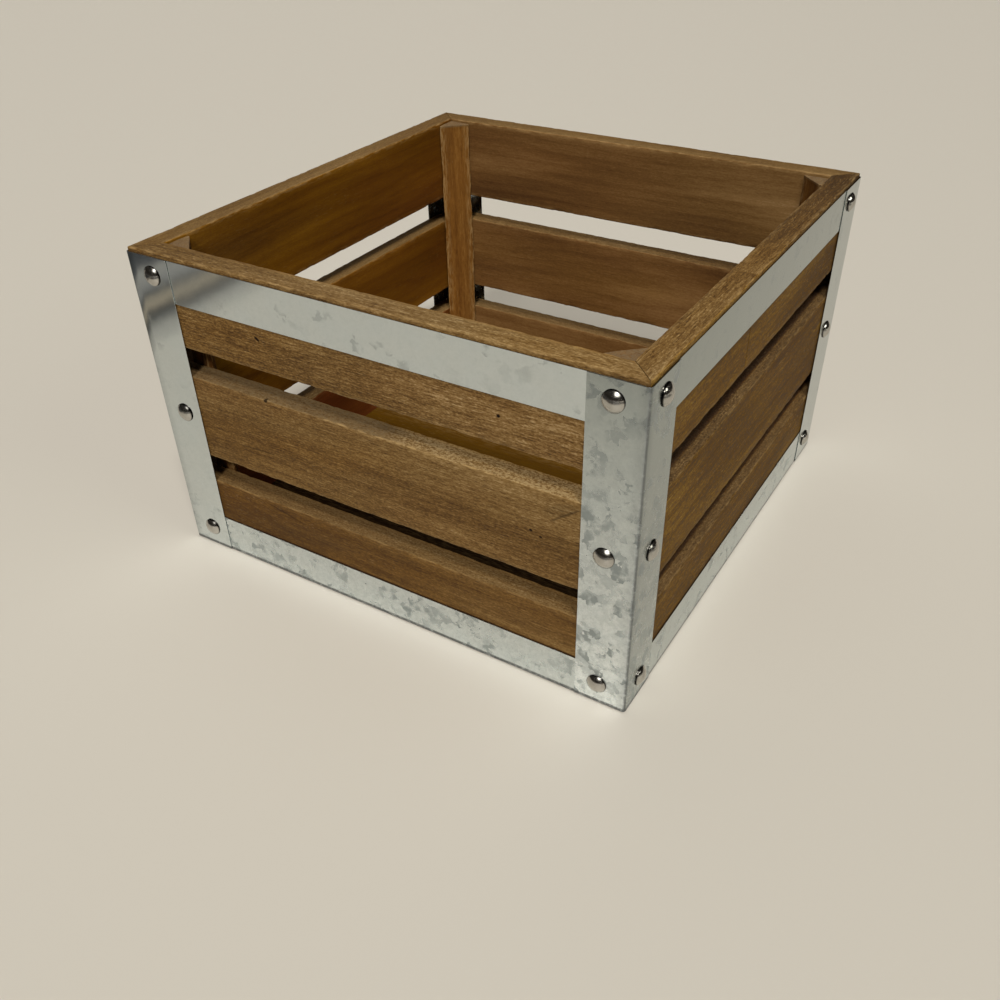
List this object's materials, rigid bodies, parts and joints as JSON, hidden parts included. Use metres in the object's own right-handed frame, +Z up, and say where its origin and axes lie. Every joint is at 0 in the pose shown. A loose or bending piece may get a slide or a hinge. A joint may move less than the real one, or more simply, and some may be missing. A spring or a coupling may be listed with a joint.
{
  "type": "wooden crate",
  "caption": "Open-topped square crate of stained wooden slats with mitred corners, bound by galvanised corner angles and bands under dome-headed nails.",
  "frame": {"origin": "on the ground, under the middle of the crate", "axes": "+X to the right along the front wall, +Y from the front wall to the back wall, +Z up"},
  "size_m": [0.2576, 0.2576, 0.1594],
  "materials": {
    "wood_slat": "warm brown stain, low sheen, fine grain along each slat",
    "wood_post": "lighter orange-brown stain, upright grain",
    "wood_floor": "olive-brown stain, low sheen",
    "galvanised": "galvanised sheet, semi-gloss, with soft grey spangle",
    "nickel": "polished nickel"
  },
  "bodies": {
    "root": {"slat_front_bottom": "wood_slat", "slat_front_middle": "wood_slat", "slat_front_top": "wood_slat", "slat_right_bottom": "wood_slat", "slat_right_middle": "wood_slat", "slat_right_top": "wood_slat", "slat_back_bottom": "wood_slat", "slat_back_middle": "wood_slat", "slat_back_top": "wood_slat", "slat_left_bottom": "wood_slat", "slat_left_middle": "wood_slat", "slat_left_top": "wood_slat", "corner_post_front_right": "wood_post", "corner_post_back_right": "wood_post", "corner_post_back_left": "wood_post", "corner_post_front_left": "wood_post", "floor_board_1": "wood_floor", "floor_board_2": "wood_floor", "floor_board_3": "wood_floor", "floor_board_4": "wood_floor", "floor_board_5": "wood_floor", "band_front_bottom": "galvanised", "band_front_top": "galvanised", "band_right_bottom": "galvanised", "band_right_top": "galvanised", "band_back_bottom": "galvanised", "band_back_top": "galvanised", "band_left_bottom": "galvanised", "band_left_top": "galvanised", "corner_angle_front_right": "galvanised", "corner_angle_back_right": "galvanised", "corner_angle_back_left": "galvanised", "corner_angle_front_left": "galvanised", "nail_front_left_low": "nickel", "nail_front_left_middle": "nickel", "nail_front_left_high": "nickel", "nail_front_right_low": "nickel", "nail_front_right_middle": "nickel", "nail_front_right_high": "nickel", "nail_right_left_low": "nickel", "nail_right_left_middle": "nickel", "nail_right_left_high": "nickel", "nail_right_right_low": "nickel", "nail_right_right_middle": "nickel", "nail_right_right_high": "nickel", "nail_back_left_low": "nickel", "nail_back_left_middle": "nickel", "nail_back_left_high": "nickel", "nail_back_right_low": "nickel", "nail_back_right_middle": "nickel", "nail_back_right_high": "nickel", "nail_left_left_low": "nickel", "nail_left_left_middle": "nickel", "nail_left_left_high": "nickel", "nail_left_right_low": "nickel", "nail_left_right_middle": "nickel", "nail_left_right_high": "nickel"}
  },
  "joints": []
}
